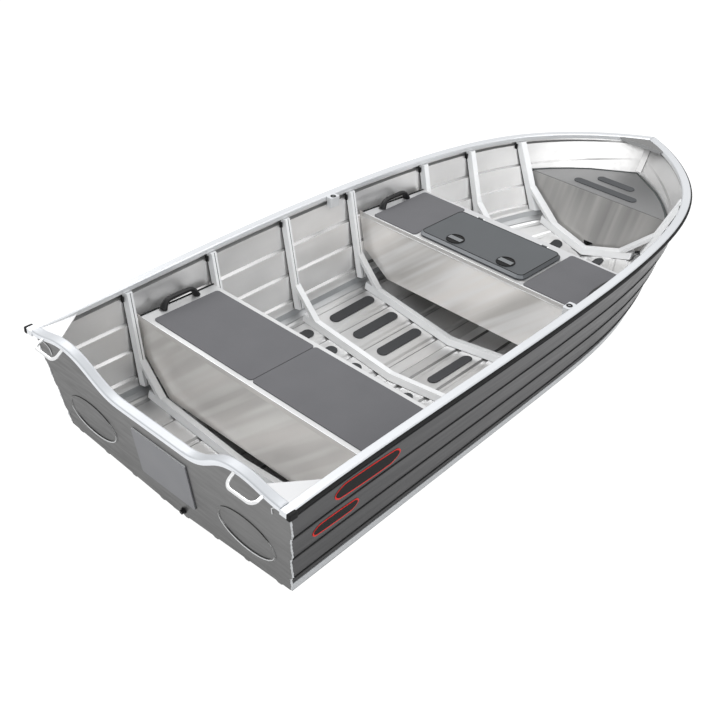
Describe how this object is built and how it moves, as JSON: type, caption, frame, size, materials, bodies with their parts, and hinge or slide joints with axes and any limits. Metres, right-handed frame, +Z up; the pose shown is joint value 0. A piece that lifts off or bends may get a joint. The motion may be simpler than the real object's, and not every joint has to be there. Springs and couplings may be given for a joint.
{
  "type": "rowing boat",
  "caption": "Open aluminium rowing boat with pressed plank sides, two cross seats, a hinged locker lid in the middle seat and a raised bow platform.",
  "frame": {"origin": "on the ground under the middle of the boat: centre of the length and breadth, at the underside of the keel bar", "axes": "+X to the bow, +Y to port, +Z up"},
  "size_m": [3.8892, 1.6622, 0.6713],
  "materials": {
    "plating": "mill finish sheet",
    "extrusion": "satin",
    "motor_pad": "satin",
    "polished_steel": "polished",
    "rub_rubber": "matt",
    "grip_mat": "matt foam",
    "hatch_plastic": "satin",
    "black_plastic": "matt"
  },
  "bodies": {
    "hull": {"aft_grab_handle_port": "black_plastic", "aft_grab_handle_starboard": "black_plastic", "aft_mat_port": "grip_mat", "aft_mat_starboard": "grip_mat", "aft_thwart_aft_panel": "extrusion", "aft_thwart_fore_panel": "extrusion", "aft_thwart_top": "extrusion", "bottom_sheet_port": "plating", "bottom_sheet_starboard": "plating", "bow_box_face": "extrusion", "bow_box_top": "extrusion", "bow_eye": "polished_steel", "bow_mat_aft": "grip_mat", "bow_mat_fore": "grip_mat", "breasthook": "extrusion", "chine_brackets_port": "extrusion", "chine_brackets_starboard": "extrusion", "chine_rail_port": "extrusion", "chine_rail_starboard": "extrusion", "corner_gusset_port": "extrusion", "corner_gusset_starboard": "extrusion", "drain_bung": "black_plastic", "floor_frames": "extrusion", "floor_pads_port": "grip_mat", "floor_pads_starboard": "grip_mat", "gunwale_port": "extrusion", "gunwale_starboard": "extrusion", "hatch_frame": "hatch_plastic", "hinge_seats": "hatch_plastic", "keel_bar": "extrusion", "lifting_handle_port": "polished_steel", "lifting_handle_starboard": "polished_steel", "locker_bin": "extrusion", "mid_grab_handle_port": "black_plastic", "mid_grab_handle_starboard": "black_plastic", "mid_mat_port": "grip_mat", "mid_mat_starboard": "grip_mat", "mid_thwart_aft_panel": "extrusion", "mid_thwart_fore_panel": "extrusion", "mid_thwart_top": "extrusion", "motor_pad": "motor_pad", "rowlock_socket_port": "extrusion", "rowlock_socket_starboard": "extrusion", "rub_strip_port": "rub_rubber", "rub_strip_starboard": "rub_rubber", "side_ribs_port": "extrusion", "side_ribs_starboard": "extrusion", "side_sheet_port": "plating", "side_sheet_starboard": "plating", "stem_backing": "extrusion", "transom_cap": "extrusion", "transom_plate": "plating"},
    "lid": {"hatch_lid": "hatch_plastic", "lid_knuckles": "hatch_plastic", "lid_latches": "black_plastic"}
  },
  "joints": [
    {"name": "lid_hinge", "type": "hinge", "parent": "hull", "child": "lid", "pos_m": [0.52569, 0, 0.519], "axis": [0, 1, 0], "range_deg": [0, 100]}
  ]
}
